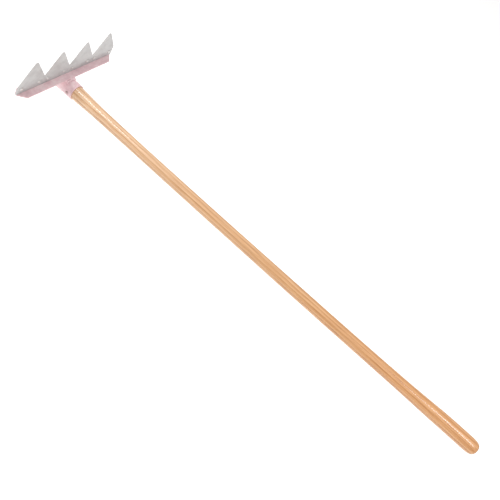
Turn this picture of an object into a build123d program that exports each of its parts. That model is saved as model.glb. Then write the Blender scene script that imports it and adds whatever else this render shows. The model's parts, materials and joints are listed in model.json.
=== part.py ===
"""Fire rake: a long wooden handle in a steel socket, under an angle bar that carries four cutter sections.

The handle's axis is the Y axis, with the head at +Y and the cutting points up, towards +Z. The origin is on
the handle's axis, in the middle of the round stretch near its butt. All sizes are in millimetres.
"""
from build123d import *
import os
from math import asin, cos, degrees, radians, sin, sqrt

os.makedirs("parts", exist_ok=True)

inch = 25.4

# Handle, measured along its axis from the middle of the butt's round stretch
turned_off = 5.0  # taken off a 52 in blank when its butt is rounded
handle_length = 52 * inch - turned_off
butt_radius = 19.0
butt_stretch = 66.0
dome_length = 29.0
dome_flat_radius = 6.0
socket_grip_radius = 18.4
waist_radius = 15.0
middle_radius = 15.8

# Socket: a short steel tube, open at both ends
socket_outer_radius = 21.1
socket_length = 55.0
mouth_flare = 0.8
handle_recess = 2.0
fit_gap = 0.05
socket_wall = socket_outer_radius - socket_grip_radius - fit_gap

# Angle bar, in the head's own plane
bar_length = 300.0
leg = 7 / 8 * inch
leg_thickness = 1 / 8 * inch
toe_radius = 1.2
heel_radius = 0.5
clip_along = 17.4
head_tilt = 6.0
blade_to_mouth = 44.5
root_gap = 2.0

# Cutter sections
section_count = 4
section_pitch = 3 * inch
section_side_gap = 0.3
section_height = 3.375 * inch
section_thickness = 2.5
shoulder_height = 29.0
tip_width = 7.6
tip_round = 1.2
grind_width = 6.5
grind_land = 0.7

# Fasteners
rivet_radius = 2.4
rivet_head_radius = 4.6
rivet_head_height = 2.3
rivet_spacing = 2 * inch
rivet_height = 9 / 16 * inch
cross_rivet_from_mouth = 12.7
cross_head_radius = 4.4
cross_head_height = 2.2
cross_skirt = 0.3

# Weld bead round the joint of socket and bar
weld_radius = 4.0
weld_offset = 11.5
weld_set_out = 1.0
side_bead_height = 20.4
weld_gap = 0.02

mouth_y = handle_length - (socket_length - handle_recess) - butt_stretch / 2 - dome_length
butt_end_y = -butt_stretch / 2 - dome_length
handle_end_y = butt_end_y + handle_length

# The head's plane stands at the bar's inner corner: x along the bar, y away from the handle, z to the points.
# The socket's crown meets the lower leg's underside, but for the weld's root gap, at the leg's free edge.
tilt = radians(head_tilt)
lower_reach = leg - leg_thickness
corner_z = socket_outer_radius + root_gap + lower_reach * sin(tilt) + leg_thickness * cos(tilt)
blade_face_y = mouth_y + blade_to_mouth
corner_y = blade_face_y + (section_thickness - corner_z * sin(tilt)) / cos(tilt)
head = Plane(origin=(0, corner_y, corner_z), x_dir=(1, 0, 0), z_dir=(0, -sin(tilt), cos(tilt)))
blade_plane = Plane(origin=head.origin, x_dir=(1, 0, 0), z_dir=-head.y_dir)
bar_start = head.from_local_coords((-bar_length / 2, 0, 0))
profile_plane = Plane(origin=bar_start, x_dir=head.y_dir, z_dir=(1, 0, 0))

section_x = [(i - (section_count - 1) / 2) * section_pitch for i in range(section_count)]
rivet_points = [(x + side * rivet_spacing / 2, rivet_height) for x in section_x for side in (-1, 1)]

# Wooden handle: straight in the socket, waisted behind it, swelling to a round stretch and a domed butt
with BuildPart() as handle:
    with BuildSketch(Plane.XY):
        with BuildLine():
            tenon = Line((socket_grip_radius, handle_end_y), (socket_grip_radius, mouth_y))
            neck = Spline(
                (socket_grip_radius, mouth_y),
                (18.2, mouth_y - 20),
                (17.0, mouth_y - 45),
                (15.8, mouth_y - 90),
                (waist_radius, mouth_y - 270),
                (15.3, mouth_y - 485),
                (middle_radius, mouth_y - 800),
                (16.2, mouth_y - 980),
                (17.2, mouth_y - 1060),
                (18.45, mouth_y - 1125),
                (butt_radius, butt_stretch / 2),
                tangents=[(0, -1), (0, -1)],
            )
            barrel = Line(neck @ 1, (butt_radius, -butt_stretch / 2))
            dome = Bezier(
                barrel @ 1,
                (butt_radius, -butt_stretch / 2 - dome_length * 0.92),
                (butt_radius * 0.88, butt_end_y),
                (dome_flat_radius, butt_end_y),
            )
            Polyline(dome @ 1, (0, butt_end_y), (0, handle_end_y), tenon @ 0)
        make_face()
    revolve(axis=Axis.Y)
    with Locations(Plane(origin=(0, mouth_y + cross_rivet_from_mouth, 0), z_dir=(1, 0, 0))):
        Cylinder(rivet_radius + fit_gap, 4 * socket_outer_radius, mode=Mode.SUBTRACT)

# Socket tube, its mouth eased inside and its holes for the cross rivet drilled through
with BuildPart() as socket:
    with BuildSketch(Plane(origin=(0, mouth_y, 0), x_dir=(1, 0, 0), z_dir=(0, 1, 0))):
        Circle(socket_outer_radius)
        Circle(socket_grip_radius + fit_gap, mode=Mode.SUBTRACT)
    extrude(amount=socket_length)
    inner_rim = socket.edges().filter_by(GeomType.CIRCLE).group_by(Axis.Y)[0].sort_by(SortBy.RADIUS)[0]
    chamfer(inner_rim, length=mouth_flare)
    with Locations(Plane(origin=(0, mouth_y + cross_rivet_from_mouth, 0), z_dir=(1, 0, 0))):
        Cylinder(rivet_radius + fit_gap, 4 * socket_outer_radius, mode=Mode.SUBTRACT)

# Rolled steel angle: the upright leg stands behind the sections, the lower leg lies under their heels
with BuildPart() as angle_bar:
    with BuildSketch(profile_plane):
        with BuildLine():
            Polyline(
                (leg_thickness, leg - leg_thickness),
                (leg_thickness, -leg_thickness),
                (-lower_reach, -leg_thickness),
                (-lower_reach, 0),
                (0, 0),
                (0, leg - leg_thickness),
                close=True,
            )
        outline = make_face()
        corners = outline.vertices()
        heel = bar_start + (head.y_dir - head.z_dir) * leg_thickness
        toes = [bar_start - head.y_dir * lower_reach, bar_start + head.z_dir * lower_reach]
        rounded_toes = [corners.sort_by_distance(toe)[0] for toe in toes]
        heel_corner = corners.sort_by_distance(heel)[0]
        fillet(rounded_toes, radius=toe_radius)
        fillet(heel_corner, radius=heel_radius)
    extrude(amount=bar_length)
    for side in (-1, 1):
        with BuildSketch(head.offset(-leg_thickness)):
            with BuildLine():
                Polyline(
                    (side * bar_length / 2, -section_thickness),
                    (side * (bar_length / 2 - clip_along), -lower_reach),
                    (side * (bar_length / 2 - clip_along), -lower_reach - leg),
                    (side * (bar_length / 2 + leg), -lower_reach - leg),
                    (side * (bar_length / 2 + leg), -section_thickness),
                    close=True,
                )
            make_face()
        extrude(amount=leg_thickness, mode=Mode.SUBTRACT)
    with BuildSketch(blade_plane):
        with Locations(*rivet_points):
            Circle(rivet_radius + fit_gap)
    extrude(amount=-leg_thickness, mode=Mode.SUBTRACT)

# Four cutter sections, ground on the far side of both slanted edges down to a narrow land on the handle's side
half_width = (section_pitch - section_side_gap) / 2
slant_length = sqrt((half_width - tip_width / 2)**2 + (section_height - shoulder_height)**2)
for number, x in enumerate(section_x, start=1):
    with BuildPart() as section:
        with BuildSketch(blade_plane):
            with BuildLine():
                Polyline(
                    (x - half_width, 0),
                    (x + half_width, 0),
                    (x + half_width, shoulder_height),
                    (x + tip_width / 2, section_height),
                    (x - tip_width / 2, section_height),
                    (x - half_width, shoulder_height),
                    close=True,
                )
            blank = make_face()
            fillet(blank.vertices().sort_by(Axis(head.origin, head.z_dir))[-2:], radius=tip_round)
            with Locations(*[point for point in rivet_points if abs(point[0] - x) < half_width]):
                Circle(rivet_radius + fit_gap, mode=Mode.SUBTRACT)
        extrude(amount=section_thickness)
        for side in (-1, 1):
            shoulder = blade_plane.from_local_coords((x + side * half_width, shoulder_height, 0))
            point = blade_plane.from_local_coords((x + side * tip_width / 2, section_height, 0))
            inward = (point - shoulder).normalized().cross(blade_plane.z_dir) * -side
            with BuildSketch(Plane(origin=(shoulder + point) / 2, x_dir=inward,
                                   z_dir=inward.cross(blade_plane.z_dir))):
                with BuildLine():
                    Polyline((grind_width, 0), (0, section_thickness - grind_land), (-grind_width, section_thickness),
                             (-grind_width, -section_thickness), (grind_width, -section_thickness), close=True)
                make_face()
            extrude(amount=slant_length, both=True, mode=Mode.SUBTRACT)
    section.part.label = f"section_{number}"
    export_step(section.part, f"parts/section_{number}.step")

# Rivets through the sections and the upright leg, with a round head at each end
grip_length = section_thickness + leg_thickness
with BuildPart() as rivet:
    with BuildSketch(Plane.XZ):
        with BuildLine():
            shank = Polyline((rivet_head_radius, 0), (rivet_radius, 0), (rivet_radius, -grip_length),
                             (rivet_head_radius, -grip_length))
            TangentArc((0, rivet_head_height), shank @ 0, tangent=(1, 0))
            TangentArc((0, -grip_length - rivet_head_height), shank @ 1, tangent=(1, 0))
            Line((0, -grip_length - rivet_head_height), (0, rivet_head_height))
        make_face()
    revolve(axis=Axis.Z)
rivet_seats = [Plane(origin=blade_plane.from_local_coords((x, height, section_thickness)),
                     x_dir=blade_plane.x_dir, z_dir=blade_plane.z_dir) for x, height in rivet_points]
with BuildPart() as section_rivets:
    with Locations(*rivet_seats):
        add(rivet.part)

# Cross rivet through socket and handle, its heads formed down onto the tube
cross_y = mouth_y + cross_rivet_from_mouth
head_seat = socket_outer_radius - socket_wall / 2
head_skirt = sqrt(socket_outer_radius**2 - cross_head_radius**2) + cross_skirt
crown = socket_outer_radius + cross_head_height
with BuildPart() as handle_rivet:
    with BuildSketch(Plane(origin=(0, cross_y, 0), x_dir=(0, 0, 1), z_dir=(0, -1, 0))):
        with BuildLine():
            Line((0, crown), (0, 0))
            Polyline((0, 0), (rivet_radius, 0), (rivet_radius, head_seat), (cross_head_radius, head_seat),
                     (cross_head_radius, head_skirt))
            TangentArc((0, crown), (cross_head_radius, head_skirt), tangent=(1, 0))
        make_face()
    revolve(axis=Axis((0, cross_y, 0), (1, 0, 0)))
    mirror(about=Plane.YZ)
    add(socket.part, mode=Mode.SUBTRACT)

# Weld bead: along the tube's two sides under the bar's lower leg, and over its crown at the leg's free edge
weld_y = head.from_local_coords((0, -lower_reach, -leg_thickness)).Y - weld_set_out
weld_length = mouth_y + socket_length - weld_set_out - weld_y
weld_ring = socket_outer_radius + weld_set_out
weld_angle = degrees(asin(weld_offset / weld_ring))
crown_bead_height = sqrt(weld_ring**2 - weld_offset**2)
with BuildPart() as weld_bead:
    with BuildSketch(Plane(origin=(0, weld_y, 0), x_dir=(1, 0, 0), z_dir=(0, 1, 0))):
        with Locations((-weld_offset, -side_bead_height), (weld_offset, -side_bead_height)):
            Circle(weld_radius)
    extrude(amount=weld_length)
    with BuildSketch(Plane(origin=(-weld_offset, weld_y, crown_bead_height), x_dir=(0, 1, 0),
                           z_dir=(cos(radians(weld_angle)), 0, sin(radians(weld_angle))))):
        Circle(weld_radius)
    revolve(axis=Axis.Y, revolution_arc=2 * weld_angle)
    with BuildSketch(Plane(origin=(0, mouth_y, 0), x_dir=(1, 0, 0), z_dir=(0, 1, 0))):
        Circle(socket_outer_radius + weld_gap)
    extrude(amount=2 * socket_length, mode=Mode.SUBTRACT)
    add(angle_bar.part, mode=Mode.SUBTRACT)

for name, piece in (("handle", handle), ("socket", socket), ("angle_bar", angle_bar),
                    ("section_rivets", section_rivets), ("handle_rivet", handle_rivet), ("weld_bead", weld_bead)):
    piece.part.label = name
    export_step(piece.part, f"parts/{name}.step")
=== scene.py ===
import json
import math
import random
import bpy
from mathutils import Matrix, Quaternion, Vector

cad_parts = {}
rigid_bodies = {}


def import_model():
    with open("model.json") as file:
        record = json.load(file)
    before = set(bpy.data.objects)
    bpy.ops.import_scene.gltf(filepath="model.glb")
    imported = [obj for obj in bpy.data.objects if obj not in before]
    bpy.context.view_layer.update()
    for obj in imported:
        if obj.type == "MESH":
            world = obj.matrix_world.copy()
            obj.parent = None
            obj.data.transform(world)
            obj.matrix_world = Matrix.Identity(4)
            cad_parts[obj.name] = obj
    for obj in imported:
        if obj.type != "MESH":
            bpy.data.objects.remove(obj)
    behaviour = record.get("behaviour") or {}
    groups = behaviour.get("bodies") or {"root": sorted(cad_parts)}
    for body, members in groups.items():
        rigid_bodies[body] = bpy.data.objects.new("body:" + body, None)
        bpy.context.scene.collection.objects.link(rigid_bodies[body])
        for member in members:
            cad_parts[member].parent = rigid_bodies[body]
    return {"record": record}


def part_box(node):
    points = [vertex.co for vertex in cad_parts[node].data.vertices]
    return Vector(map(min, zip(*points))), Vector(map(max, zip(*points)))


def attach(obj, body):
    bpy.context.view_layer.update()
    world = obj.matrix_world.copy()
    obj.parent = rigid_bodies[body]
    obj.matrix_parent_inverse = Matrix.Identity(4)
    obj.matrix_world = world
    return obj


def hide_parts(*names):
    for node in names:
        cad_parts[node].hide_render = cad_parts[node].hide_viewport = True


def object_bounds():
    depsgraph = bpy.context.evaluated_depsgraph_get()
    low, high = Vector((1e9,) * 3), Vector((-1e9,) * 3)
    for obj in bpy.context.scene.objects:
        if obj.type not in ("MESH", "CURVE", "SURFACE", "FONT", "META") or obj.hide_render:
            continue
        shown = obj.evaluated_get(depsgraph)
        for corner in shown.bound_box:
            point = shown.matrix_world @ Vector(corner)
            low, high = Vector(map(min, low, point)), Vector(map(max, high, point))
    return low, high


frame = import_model()
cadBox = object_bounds()
mm = 0.001
mounts = {mount["name"]: mount for mount in frame["record"]["mounts"]}
print("loaded the frame")

# the camera looks down on the handle from the left of the head, rolled so that the handle runs corner to corner
view = {"target": (-0.0044, 0.635, 0.0), "azimuth": 85.664, "elevation": 47.752, "roll": 38.651,
        "distance": 1.3541, "lens": 41.267, "sensor": 36.0}


def makeCamera():
    azimuth = math.radians(view["azimuth"])
    elevation = math.radians(view["elevation"])
    look = Vector((math.cos(elevation) * math.sin(azimuth),
                   math.cos(elevation) * math.cos(azimuth),
                   -math.sin(elevation)))
    bpy.ops.object.camera_add(location=Vector(view["target"]) - look * view["distance"])
    camera = bpy.context.object
    camera.name = "main_camera"
    camera.rotation_mode = "QUATERNION"
    level = look.to_track_quat("-Z", "Y")
    camera.rotation_quaternion = level @ Quaternion((0, 0, 1), math.radians(view["roll"]))
    camera.data.lens = view["lens"]
    camera.data.sensor_width = view["sensor"]
    bpy.context.scene.camera = camera


makeCamera()
print("camera set")


# selecting and finishing

def deselectAll():
    if bpy.context.object and bpy.context.object.mode != "OBJECT":
        bpy.ops.object.mode_set(mode="OBJECT")
    bpy.ops.object.select_all(action="DESELECT")


def selectOnly(piece):
    deselectAll()
    piece.select_set(True)
    bpy.context.view_layer.objects.active = piece


def applyPlace(piece):
    selectOnly(piece)
    bpy.ops.object.transform_apply(location=True, rotation=True, scale=True)


def pick(piece, kind, test):
    # edit mode with only the faces or edges that pass the test selected
    bpy.ops.object.mode_set(mode="EDIT")
    bpy.ops.mesh.select_mode(type=kind)
    bpy.ops.mesh.select_all(action="DESELECT")
    bpy.ops.object.mode_set(mode="OBJECT")
    mesh = piece.data
    if kind == "FACE":
        for face in mesh.polygons:
            face.select = test(face.center, face.normal)
    else:
        for edge in mesh.edges:
            first, second = (mesh.vertices[i].co for i in edge.vertices)
            edge.select = test(first, second)
    bpy.ops.object.mode_set(mode="EDIT")


def cutAway(place, outward):
    # slices the whole piece with a plane and closes the cut
    bpy.ops.object.mode_set(mode="EDIT")
    bpy.ops.mesh.select_all(action="SELECT")
    bpy.ops.mesh.bisect(plane_co=place, plane_no=Vector(outward).normalized(), use_fill=True, clear_outer=True,
                        threshold=0.001 * mm)


def addModifier(piece, kind, **settings):
    selectOnly(piece)
    modifier = piece.modifiers.new(kind.lower(), kind)
    for name, value in settings.items():
        setattr(modifier, name, value)
    bpy.ops.object.modifier_apply(modifier=modifier.name)


def easeEdges(piece, width, segments=2, angle=30):
    addModifier(piece, "BEVEL", width=width, segments=segments, limit_method="ANGLE",
                angle_limit=math.radians(angle), use_clamp_overlap=True)


def smooth(piece, angle=35):
    selectOnly(piece)
    bpy.ops.object.shade_smooth_by_angle(angle=math.radians(angle))


def fixNormals(piece):
    selectOnly(piece)
    bpy.ops.object.mode_set(mode="EDIT")
    bpy.ops.mesh.select_all(action="SELECT")
    bpy.ops.mesh.remove_doubles(threshold=0.00001)
    bpy.ops.mesh.normals_make_consistent(inside=False)
    bpy.ops.object.mode_set(mode="OBJECT")


def copyPiece(piece, name):
    twin = piece.copy()
    twin.data = piece.data.copy()
    twin.name = name
    bpy.context.scene.collection.objects.link(twin)
    return twin


def finish(piece, name, material, slot, *nodes):
    piece.name = name
    piece.data.name = name
    piece.data.materials.clear()
    piece.data.materials.append(material)
    deselectAll()
    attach(piece, "root")
    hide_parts(*nodes)


# materials

def hexColour(text):
    channels = [int(text[i:i + 2], 16) / 255 for i in (1, 3, 5)]
    linear = [c / 12.92 if c <= 0.04045 else ((c + 0.055) / 1.055) ** 2.4 for c in channels]
    return (*linear, 1.0)


def addNode(material, kind, links=None, **settings):
    # a setting is a socket's value, by its name or number, or else a property of the node
    node = material.node_tree.nodes.new(kind)
    for name, value in settings.pop("sockets", {}).items():
        node.inputs[name].default_value = value
    for name, value in settings.items():
        setattr(node, name, value)
    for name, source in (links or {}).items():
        material.node_tree.links.new(source, node.inputs[name])
    return node


def newMaterial(name, **sockets):
    material = bpy.data.materials.new(name)
    material.use_nodes = True
    shader = material.node_tree.nodes["Principled BSDF"]
    for socket, value in sockets.items():
        shader.inputs[socket.replace("_", " ")].default_value = value
    return material, shader


def placedNoise(material, places, size, detail=4.0, roughness=0.5, stretch=(1, 1, 1), turn=(0, 0, 0)):
    # noise whose blotches are size metres across, times stretch along each axis
    scale = [1 / (size * s) for s in stretch]
    moved = addNode(material, "ShaderNodeMapping", {"Vector": places},
                    sockets={"Rotation": turn, "Scale": scale})
    return addNode(material, "ShaderNodeTexNoise", {"Vector": moved.outputs["Vector"]},
                   sockets={"Scale": 1.0, "Detail": detail, "Roughness": roughness}).outputs["Fac"]


def ramp(material, value, stops):
    node = addNode(material, "ShaderNodeValToRGB", {"Fac": value})
    points = node.color_ramp.elements
    while len(points) < len(stops):
        points.new(0.5)
    for point, (place, colour) in zip(points, stops):
        point.position = place
        point.color = hexColour(colour)
    return node.outputs["Color"]


def mixColours(material, first, second, amount, blend="MIX"):
    links = {6: first, 7: second}
    sockets = {}
    if isinstance(amount, float):
        sockets[0] = amount
    else:
        links[0] = amount
    return addNode(material, "ShaderNodeMix", links, data_type="RGBA", blend_type=blend,
                   sockets=sockets).outputs[2]


def spread(material, value, low, high, newLow=0.0, newHigh=1.0):
    return addNode(material, "ShaderNodeMapRange", {"Value": value},
                   sockets={"From Min": low, "From Max": high, "To Min": newLow, "To Max": newHigh}).outputs["Result"]


def bump(material, shader, height, depth, strength=1.0, before=None):
    links = {"Height": height}
    if before:
        links["Normal"] = before
    node = addNode(material, "ShaderNodeBump", links, sockets={"Distance": depth, "Strength": strength})
    material.node_tree.links.new(node.outputs["Normal"], shader.inputs["Normal"])
    return node.outputs["Normal"]


# ash, turned and clear varnished: straight grain lines along the handle under a thin gloss coat
ashWood = {"pale": "#EDCEAD", "mid": "#DAB087", "deep": "#AE7A4D", "pore": "#8A5A34", "end": "#B87C4E",
           "ring": 8.4 * mm, "grain": 1.5 * mm, "fleck": 0.35 * mm, "wander": 40 * mm, "shade": 150 * mm,
           "sway": (9 * mm, 0, 7 * mm), "ringTurn": 35, "poreDepth": 0.05 * mm}
# a wave texture at scale 1 repeats every 0.31 m
waveSpan = 0.31


def varnishedAsh():
    material, shader = newMaterial("varnished_ash", Roughness=0.42, IOR=1.5, Coat_Weight=0.6,
                                   Coat_Roughness=0.14, Coat_IOR=1.5)
    places = addNode(material, "ShaderNodeTexCoord").outputs["Object"]
    # growth rings cut almost along the stem, so their lines wander slowly from end to end
    wander = placedNoise(material, places, ashWood["wander"], detail=2.0, stretch=(1, 12, 1))
    wander = addNode(material, "ShaderNodeVectorMath", {0: wander}, operation="MULTIPLY",
                     sockets={1: ashWood["sway"]}).outputs["Vector"]
    wandered = addNode(material, "ShaderNodeVectorMath", {0: places, 1: wander}, operation="ADD").outputs["Vector"]
    turned = addNode(material, "ShaderNodeMapping", {"Vector": wandered},
                     sockets={"Rotation": (0, math.radians(ashWood["ringTurn"]), 0),
                             "Scale": (1, 0.05, 1)}).outputs["Vector"]
    rings = addNode(material, "ShaderNodeTexWave", {"Vector": turned}, wave_type="BANDS", bands_direction="X",
                    wave_profile="SAW",
                    sockets={"Scale": waveSpan / ashWood["ring"], "Distortion": 1.2, "Detail": 2.0,
                             "Detail Scale": 1.4}).outputs["Fac"]
    grain = placedNoise(material, places, ashWood["grain"], detail=5.0, roughness=0.6, stretch=(1, 45, 1))
    flecks = placedNoise(material, places, ashWood["fleck"], detail=2.0, stretch=(1, 16, 1))
    shade = placedNoise(material, places, ashWood["shade"], detail=2.0, stretch=(1, 2.5, 1))
    ringColour = ramp(material, rings, [(0.0, ashWood["pale"]), (0.55, ashWood["mid"]), (1.0, ashWood["deep"])])
    grainColour = ramp(material, grain, [(0.32, ashWood["deep"]), (0.5, ashWood["mid"]), (0.68, ashWood["pale"])])
    colour = mixColours(material, ringColour, grainColour, 0.55)
    poreAmount = spread(material, flecks, 0.62, 0.72, 0.0, 0.4)
    poreColour = addNode(material, "ShaderNodeRGB").outputs[0]
    poreColour.default_value = hexColour(ashWood["pore"])
    colour = mixColours(material, colour, poreColour, poreAmount)
    # the stem is paler at the head and yellower towards the butt: partly the wood's own tone along its length, partly
    # a painted highlight, the soft wash of the strip light over the head end
    alongStem = addNode(material, "ShaderNodeSeparateXYZ", {0: places}).outputs["Y"]
    unevenness = spread(material, shade, 0.3, 0.7, -0.12, 0.12)
    alongStem = addNode(material, "ShaderNodeMath", {0: alongStem, 1: unevenness}, operation="ADD").outputs[0]
    toneAndWashTint = ramp(material, spread(material, alongStem, 0.0, 1.2),
                [(0.1, "#F8DFBE"), (0.5, "#F8E9D2"), (0.95, "#FFFFFF")])
    colour = mixColours(material, colour, toneAndWashTint, 1.0, "MULTIPLY")
    # end grain drinks the varnish and goes darker, which shows on the domed butt
    facing = addNode(material, "ShaderNodeTexCoord").outputs["Normal"]
    facing = addNode(material, "ShaderNodeSeparateXYZ", {0: facing}).outputs["Y"]
    endColour = addNode(material, "ShaderNodeRGB").outputs[0]
    endColour.default_value = hexColour(ashWood["end"])
    colour = mixColours(material, colour, endColour, spread(material, facing, -0.35, -0.9, 0.0, 0.8))
    material.node_tree.links.new(colour, shader.inputs["Base Color"])
    bump(material, shader, grain, ashWood["poreDepth"], 0.5)
    return material


# enamel over hot-rolled steel, red, coloured a pale dusty pink that is a painted wash of light, the red washed out by
# over-bright light: satin and a little uneven
enamel = {"colour": "#E4C2C6", "dull": "#D6B3B8", "chalk": "#EDD6D7", "mottle": 18 * mm, "peel": 1.6 * mm,
          "scale": 9 * mm, "scaleDepth": 0.25 * mm, "peelDepth": 0.05 * mm}


def overlitPinkEnamel():
    material, shader = newMaterial("overlit_red_enamel", Roughness=0.45, IOR=1.5, Coat_Weight=0.15,
                                   Coat_Roughness=0.3)
    places = addNode(material, "ShaderNodeTexCoord").outputs["Object"]
    mottle = placedNoise(material, places, enamel["mottle"], detail=6.0, roughness=0.6)
    peel = placedNoise(material, places, enamel["peel"], detail=2.0)
    rolled = placedNoise(material, places, enamel["scale"], detail=3.0, stretch=(3, 1, 1))
    # the pink stops are the red enamel with a painted wash of over-bright light; the mottle between them is the
    # paint's own unevenness
    colour = ramp(material, mottle, [(0.3, enamel["dull"]), (0.5, enamel["colour"]), (0.72, enamel["chalk"])])
    material.node_tree.links.new(colour, shader.inputs["Base Color"])
    first = bump(material, shader, rolled, enamel["scaleDepth"], 0.6)
    bump(material, shader, peel, enamel["peelDepth"], 0.6, first)
    return material


# spring steel, surface ground: even pale grey with fine straight grinding lines, its shine dulled by a film of oil
cutterSteel = {"face": "#C5C4C4", "dark": "#B4B2B2", "light": "#D0CFCE", "line": 0.5 * mm, "cloud": 22 * mm}


def groundSteel():
    material, shader = newMaterial("ground_spring_steel", Metallic=0.35, Roughness=0.6)
    places = addNode(material, "ShaderNodeTexCoord").outputs["Object"]
    lines = placedNoise(material, places, cutterSteel["line"], detail=3.0, stretch=(60, 1, 1))
    cloud = placedNoise(material, places, cutterSteel["cloud"], detail=5.0, roughness=0.6)
    cloudColour = ramp(material, cloud, [(0.3, cutterSteel["dark"]), (0.5, cutterSteel["face"]),
                                         (0.75, cutterSteel["light"])])
    lineColour = ramp(material, lines, [(0.35, cutterSteel["dark"]), (0.6, cutterSteel["light"])])
    colour = mixColours(material, cloudColour, lineColour, 0.25)
    material.node_tree.links.new(colour, shader.inputs["Base Color"])
    roughness = spread(material, lines, 0.3, 0.7, 0.52, 0.66)
    material.node_tree.links.new(roughness, shader.inputs["Roughness"])
    bump(material, shader, lines, 0.02 * mm, 0.5)
    return material


def rivetSteel(name, pale, dark, roughness):
    material, shader = newMaterial(name, Metallic=0.8, Roughness=roughness)
    places = addNode(material, "ShaderNodeTexCoord").outputs["Object"]
    pits = placedNoise(material, places, 1.2 * mm, detail=4.0, roughness=0.6)
    colour = ramp(material, pits, [(0.35, dark), (0.65, pale)])
    material.node_tree.links.new(colour, shader.inputs["Base Color"])
    bump(material, shader, pits, 0.08 * mm, 0.5)
    return material


ashMaterial = varnishedAsh()
enamelMaterial = overlitPinkEnamel()
steelMaterial = groundSteel()
headMaterial = rivetSteel("formed_steel_rivet", "#E2E0DE", "#BDBAB8", 0.34)
crossMaterial = rivetSteel("oxidised_steel_rivet", "#C7B0AF", "#A58C8B", 0.55)
print("materials made")

# handle: rings extruded from the socket end to the domed butt, each with its distance from the socket's mouth and
# its radius in mm; a turned ash stem springs a few millimetres off its axis as it dries, down and to the left here
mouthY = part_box("socket")[0].y
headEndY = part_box("handle")[1].y
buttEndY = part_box("handle")[0].y
handle = {"sides": 32, "grip": 18.42,
          "neck": [(1.0, 18.4), (12.0, 18.35), (20.0, 18.2), (27.0, 17.9), (35.0, 17.45), (45.0, 17.0),
                   (60.0, 16.45), (75.0, 16.05), (90.0, 15.8), (138.0, 15.4), (190.0, 15.15), (240.0, 15.0),
                   (300.0, 15.0), (361.0, 15.05), (425.0, 15.15), (485.0, 15.25), (545.0, 15.4), (608.0, 15.5),
                   (670.0, 15.6), (731.0, 15.7), (790.0, 15.75), (855.0, 15.75), (920.0, 15.85), (979.0, 16.0),
                   (1030.0, 16.4), (1070.0, 16.95), (1105.0, 17.7), (1135.0, 18.45), (1160.0, 18.9), (1178.0, 19.0),
                   (1200.0, 19.05), (1225.0, 19.05)],
          "dome": [(1237.0, 19.0), (1247.0, 18.55), (1254.0, 17.4), (1258.5, 15.6), (1261.5, 12.6), (1262.6, 8.6)],
          "bow": 4.0, "bowShape": 0.75, "bowAway": (-0.743, 0.0, -0.669), "straightButt": 1165.0}


def makeHandle():
    deselectAll()
    bpy.ops.mesh.primitive_circle_add(vertices=handle["sides"], radius=handle["grip"] * mm, fill_type="NGON",
                                      location=(0, headEndY, 0), rotation=(math.radians(-90), 0, 0))
    piece = bpy.context.object
    applyPlace(piece)
    bpy.ops.object.mode_set(mode="EDIT")
    bpy.ops.mesh.select_all(action="SELECT")
    bpy.ops.mesh.inset(thickness=1.2 * mm)
    bpy.ops.object.mode_set(mode="OBJECT")
    stations = [(headEndY - 1.5 * mm, handle["grip"]), (mouthY + 2 * mm, handle["grip"])]
    stations += [(mouthY - along * mm, radius) for along, radius in handle["neck"] + handle["dome"]]
    stations.append((buttEndY, 4.0))
    # the rim of the end disc grows into the side wall, one ring for each station
    y, radius, centre = headEndY, handle["grip"], Vector()
    pick(piece, "EDGE", lambda a, b: min(math.hypot(a.x, a.z), math.hypot(b.x, b.z)) > (radius - 0.3) * mm)
    for nextY, nextRadius in stations:
        share = min(max((mouthY - nextY) / (handle["straightButt"] * mm), 0.0), 1.0)
        offset = (4 * share * (1 - share)) ** handle["bowShape"] * handle["bow"] * mm
        nextCentre = Vector(handle["bowAway"]) * offset
        step = nextCentre - centre + Vector((0, nextY - y, 0))
        bpy.ops.mesh.extrude_edges_move(TRANSFORM_OT_translate={"value": tuple(step)})
        grow = nextRadius / radius
        bpy.ops.transform.resize(value=(grow, 1, grow), center_override=(nextCentre.x, nextY, nextCentre.z))
        y, radius, centre = nextY, nextRadius, nextCentre
    bpy.ops.mesh.edge_face_add()
    bpy.ops.object.mode_set(mode="OBJECT")
    fixNormals(piece)
    addModifier(piece, "SUBSURF", levels=2, render_levels=2)
    smooth(piece, 60)
    finish(piece, "ash_handle", ashMaterial, "varnished_ash", "handle")


makeHandle()
print("handle turned")

# the head's own frame: x along the bar, y away from the handle, z to the points, origin at the bar's inner corner
head = {"leg": 22.225 * mm, "thickness": 3.175 * mm}
lean = math.asin(mounts["bar_rest_left"]["axis"][1])
reach = head["leg"] - head["thickness"]
barLow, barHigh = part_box("angle_bar")
headCorner = Vector((0, barLow.y + reach * math.cos(lean),
                     barLow.z + reach * math.sin(lean) + head["thickness"] * math.cos(lean)))


def placeOnHead(piece):
    applyPlace(piece)
    piece.rotation_euler.x = lean
    piece.location = headCorner
    applyPlace(piece)


bar = {"length": barHigh.x - barLow.x, "clipAlong": 17.4 * mm, "clipFrom": 2.5 * mm, "toe": 1.2 * mm,
       "edge": 0.35 * mm}


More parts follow.
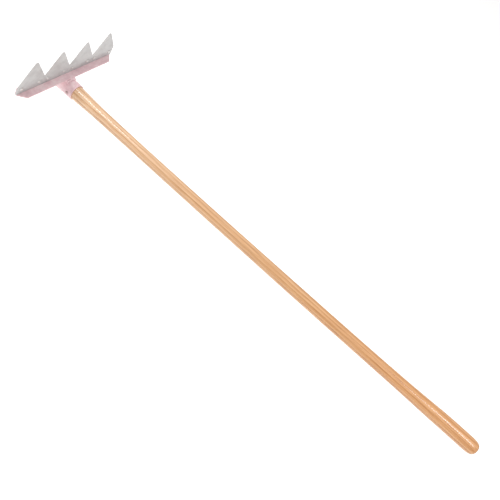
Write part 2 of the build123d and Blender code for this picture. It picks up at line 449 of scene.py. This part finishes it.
def makeBar():
    leg, thickness, half = head["leg"], head["thickness"], bar["length"] / 2
    deselectAll()
    bpy.ops.mesh.primitive_cube_add(size=1, location=(0, thickness - leg / 2, -thickness / 2),
                                    scale=(bar["length"], leg, thickness))
    piece = bpy.context.object
    applyPlace(piece)
    bpy.ops.object.mode_set(mode="EDIT")
    bpy.ops.mesh.select_all(action="SELECT")
    bpy.ops.mesh.bisect(plane_co=(0, 0, 0), plane_no=(0, 1, 0))
    pick(piece, "FACE", lambda centre, normal: normal.z > 0.9 and centre.y > 0)
    bpy.ops.mesh.extrude_region_move(TRANSFORM_OT_translate={"value": (0, 0, reach)})
    for side in (-1, 1):
        cutAway((side * half, -bar["clipFrom"], 0), (side * (reach - bar["clipFrom"]), -bar["clipAlong"], 0))
    bpy.ops.object.mode_set(mode="OBJECT")
    fixNormals(piece)

    def onToe(point):
        lowerToe = abs(point.y + reach) < 0.01 * mm and abs(point.z) < 0.01 * mm
        upperToe = abs(point.y) < 0.01 * mm and abs(point.z - reach) < 0.01 * mm
        return lowerToe or upperToe

    pick(piece, "EDGE", lambda a, b: onToe(a) and onToe(b))
    bpy.ops.mesh.bevel(offset=bar["toe"], segments=5, affect="EDGES")
    bpy.ops.object.mode_set(mode="OBJECT")
    easeEdges(piece, bar["edge"], 3)
    smooth(piece)
    placeOnHead(piece)
    finish(piece, "rolled_angle_bar", enamelMaterial, "red_enamel", "angle_bar")


makeBar()
print("bar made")

# cutter section: a flat heel, two slanted sides drawn in to a short tip, both ground from the far side
section = {"width": 75.9 * mm, "pitch": 76.2 * mm, "height": 85.725 * mm, "thickness": 2.5 * mm,
           "shoulder": 29.0 * mm, "tip": 7.6 * mm, "tipRound": 1.4 * mm, "grind": 6.5 * mm, "land": 0.7 * mm,
           "edge": 0.18 * mm, "count": 4}


def makeSection(number):
    x = (number - 1 - (section["count"] - 1) / 2) * section["pitch"]
    width, height, thickness = section["width"], section["height"], section["thickness"]
    shoulder = section["shoulder"]
    deselectAll()
    bpy.ops.mesh.primitive_cube_add(size=1, location=(x, -thickness / 2, shoulder / 2),
                                    scale=(width, thickness, shoulder))
    piece = bpy.context.object
    applyPlace(piece)
    pick(piece, "FACE", lambda centre, normal: normal.z > 0.9)
    bpy.ops.mesh.extrude_region_move(TRANSFORM_OT_translate={"value": (0, 0, height - shoulder)})
    bpy.ops.transform.resize(value=(section["tip"] / width, 1, 1), center_override=(x, 0, height))
    pick(piece, "EDGE", lambda a, b: min(a.z, b.z) > height - 0.01 * mm and abs(a.x - b.x) < 0.01 * mm)
    bpy.ops.mesh.bevel(offset=section["tipRound"], segments=4, affect="EDGES")
    for side in (-1, 1):
        corner = Vector((x + side * width / 2, 0, shoulder))
        point = Vector((x + side * section["tip"] / 2, 0, height))
        along = (point - corner).normalized()
        outward = Vector((side * along.z, 0, -side * along.x))
        back = Vector((0, 1, 0))
        ground = outward * (thickness - section["land"]) + back * section["grind"]
        cutAway(corner - back * (thickness - section["land"]), ground)
    bpy.ops.object.mode_set(mode="OBJECT")
    fixNormals(piece)
    easeEdges(piece, section["edge"])
    placeOnHead(piece)
    finish(piece, f"cutter_section_{number}", steelMaterial, "cutter_steel", f"section_{number}")


for number in range(1, section["count"] + 1):
    makeSection(number)
print("cutter sections ground")

# rivets: a round head at each end of a shank, made as one half and mirrored
sectionRivet = {"headRadius": 4.6 * mm, "headHeight": 2.3 * mm, "shank": 2.4 * mm, "skirt": 0.25 * mm,
                "spacing": 50.8 * mm, "height": 14.29 * mm}
crossRivet = {"headRadius": 4.4 * mm, "headHeight": 2.1 * mm, "shank": 2.4 * mm, "skirt": 0.7 * mm,
              "fromMouth": 12.7 * mm}


def makeRivet(rivet, grip):
    ballRadius = (rivet["headRadius"] ** 2 + rivet["headHeight"] ** 2) / (2 * rivet["headHeight"])
    seat = grip / 2
    deselectAll()
    bpy.ops.mesh.primitive_uv_sphere_add(segments=32, ring_count=32, radius=ballRadius,
                                         location=(0, 0, seat + rivet["headHeight"] - ballRadius))
    piece = bpy.context.object
    applyPlace(piece)
    cutAway((0, 0, seat), (0, 0, -1))
    pick(piece, "FACE", lambda centre, normal: normal.z < -0.9 and centre.z < seat + 0.01 * mm)
    bpy.ops.mesh.extrude_region_move(TRANSFORM_OT_translate={"value": (0, 0, -rivet["skirt"])})
    bpy.ops.mesh.inset(thickness=rivet["headRadius"] - rivet["shank"])
    bpy.ops.mesh.extrude_region_move(TRANSFORM_OT_translate={"value": (0, 0, rivet["skirt"] - seat)})
    bpy.ops.mesh.delete(type="FACE")
    bpy.ops.object.mode_set(mode="OBJECT")
    addModifier(piece, "MIRROR", use_axis=(False, False, True), merge_threshold=0.01 * mm)
    fixNormals(piece)
    easeEdges(piece, 0.15 * mm, 2, 40)
    smooth(piece, 50)
    return piece


def makeSectionRivets():
    random.seed(4)
    grip = section["thickness"] + head["thickness"] + 2 * sectionRivet["skirt"]
    middleY = (head["thickness"] - section["thickness"]) / 2
    pattern = makeRivet(sectionRivet, grip)
    pattern.rotation_euler.x = math.radians(90)
    applyPlace(pattern)
    count = 0
    for number in range(section["count"]):
        for side in (-1, 1):
            count += 1
            x = (number - (section["count"] - 1) / 2) * section["pitch"] + side * sectionRivet["spacing"] / 2
            rivet = copyPiece(pattern, f"section_rivet_{count}")
            rivet.rotation_euler.y = random.uniform(0, math.pi)
            rivet.scale = (random.uniform(0.96, 1.03), 1.0, random.uniform(0.96, 1.03))
            applyPlace(rivet)
            rivet.location = (x, middleY, sectionRivet["height"])
            placeOnHead(rivet)
            finish(rivet, f"section_rivet_{count}", headMaterial, "rivet_steel", "section_rivets")
    bpy.data.objects.remove(pattern)


def makeCrossRivet():
    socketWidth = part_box("socket")[1].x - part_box("socket")[0].x
    piece = makeRivet(crossRivet, socketWidth)
    piece.rotation_euler.y = math.radians(90)
    piece.location = (0, mouthY + crossRivet["fromMouth"], 0)
    applyPlace(piece)
    finish(piece, "cross_rivet", crossMaterial, "rivet_steel", "handle_rivet")


makeSectionRivets()
makeCrossRivet()
print("rivets set")

# socket: a short tube, walls turned inwards from the outside, rims eased
socket = {"wall": 2.6 * mm, "rim": 0.45 * mm, "sides": 96}


def makeSocket():
    low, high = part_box("socket")
    radius = (high.x - low.x) / 2
    deselectAll()
    bpy.ops.mesh.primitive_cylinder_add(vertices=socket["sides"], radius=radius, depth=high.y - low.y,
                                        end_fill_type="NOTHING", location=(0, (low.y + high.y) / 2, 0),
                                        rotation=(math.radians(90), 0, 0))
    piece = bpy.context.object
    applyPlace(piece)
    fixNormals(piece)
    addModifier(piece, "SOLIDIFY", thickness=socket["wall"], offset=-1)
    easeEdges(piece, socket["rim"], 3)
    smooth(piece)
    finish(piece, "socket_tube", enamelMaterial, "red_enamel", "socket")


makeSocket()
print("socket made")

# weld: one bead down each side of the socket under the bar and over its crown, laid as overlapping drops
weld = {"step": 2.1 * mm, "drop": 3.9 * mm, "halfWidth": 11.5 * mm, "setOut": 1.0 * mm, "sideHeight": 20.4 * mm,
        "voxel": 0.45 * mm}


def weldPath():
    low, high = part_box("weld_bead")
    socketRadius = (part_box("socket")[1].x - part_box("socket")[0].x) / 2
    ring = socketRadius + weld["setOut"]
    edgeY = low.y + weld["drop"]
    rearY = high.y - 1 * mm
    sideZ = weld["sideHeight"]
    widest = math.asin(weld["halfWidth"] / ring)
    sideSteps = int((rearY - edgeY) / weld["step"])
    crownSteps = int(2 * widest * ring / weld["step"])
    points = [Vector((-weld["halfWidth"], rearY - i * weld["step"], sideZ)) for i in range(sideSteps)]
    for i in range(crownSteps + 1):
        angle = -widest + 2 * widest * i / crownSteps
        points.append(Vector((ring * math.sin(angle), edgeY, ring * math.cos(angle))))
    points += [Vector((-p.x, p.y, p.z)) for p in reversed(points[:sideSteps])]
    return points


def makeWeld():
    random.seed(9)
    deselectAll()
    for point in weldPath():
        size = weld["drop"] * random.uniform(0.93, 1.05)
        bpy.ops.mesh.primitive_uv_sphere_add(segments=16, ring_count=10, radius=size, location=point)
    piece = bpy.context.object
    for drop in [o for o in bpy.context.scene.objects if o.name.startswith("Sphere")]:
        drop.select_set(True)
    bpy.ops.object.join()
    applyPlace(piece)
    addModifier(piece, "REMESH", mode="VOXEL", voxel_size=weld["voxel"], adaptivity=0.0)
    addModifier(piece, "SMOOTH", factor=0.5, iterations=2)
    selectOnly(piece)
    bpy.ops.object.shade_smooth()
    finish(piece, "weld_bead_ripple", enamelMaterial, "red_enamel", "weld_bead")


makeWeld()
print("weld laid")

# floor, lights and world: a lit white floor far enough below to take no shadow, a strip over each end of the handle
# and one broad soft light
studio = {"floor": "#F7F6F5", "floorGlow": 0.4, "floorSize": 14.0, "floorDrop": 0.3, "world": 0.55}
lights = [
    {"name": "head_strip", "place": (-0.46, 2.16, 1.9), "aim": (0.0, 1.1, 0.0), "size": (0.34, 1.1), "power": 29},
    {"name": "butt_strip", "place": (-0.455, -0.82, 1.9), "aim": (0.0, 0.1, 0.0), "size": (0.42, 0.9), "power": 18},
    {"name": "broad_soft_light", "place": (1.9, 1.2, 2.6), "aim": (0.0, 0.7, 0.0), "size": (2.4, 2.8), "power": 14},
]


def makeStudio():
    deselectAll()
    bpy.ops.mesh.primitive_plane_add(size=studio["floorSize"], location=(0, 0.6, cadBox[0][2] - studio["floorDrop"]))
    floor = bpy.context.object
    floor.name = "studio_floor"
    material, shader = newMaterial("pale_studio_floor", Roughness=0.9, Emission_Strength=studio["floorGlow"])
    shader.inputs["Base Color"].default_value = hexColour(studio["floor"])
    shader.inputs["Emission Color"].default_value = hexColour(studio["floor"])
    floor.data.materials.append(material)
    applyPlace(floor)
    for light in lights:
        aim = Vector(light["aim"]) - Vector(light["place"])
        bpy.ops.object.light_add(type="AREA", location=light["place"])
        lamp = bpy.context.object
        lamp.name = light["name"]
        lamp.rotation_mode = "QUATERNION"
        lamp.rotation_quaternion = aim.to_track_quat("-Z", "Y")
        lamp.data.shape = "RECTANGLE"
        lamp.data.size, lamp.data.size_y = light["size"]
        lamp.data.energy = light["power"]
    world = bpy.data.worlds.new("studio_world")
    world.use_nodes = True
    background = world.node_tree.nodes["Background"]
    background.inputs["Color"].default_value = (1, 1, 1, 1)
    background.inputs["Strength"].default_value = studio["world"]
    bpy.context.scene.world = world
    bpy.context.scene.view_settings.view_transform = "Standard"


makeStudio()
print("studio set")
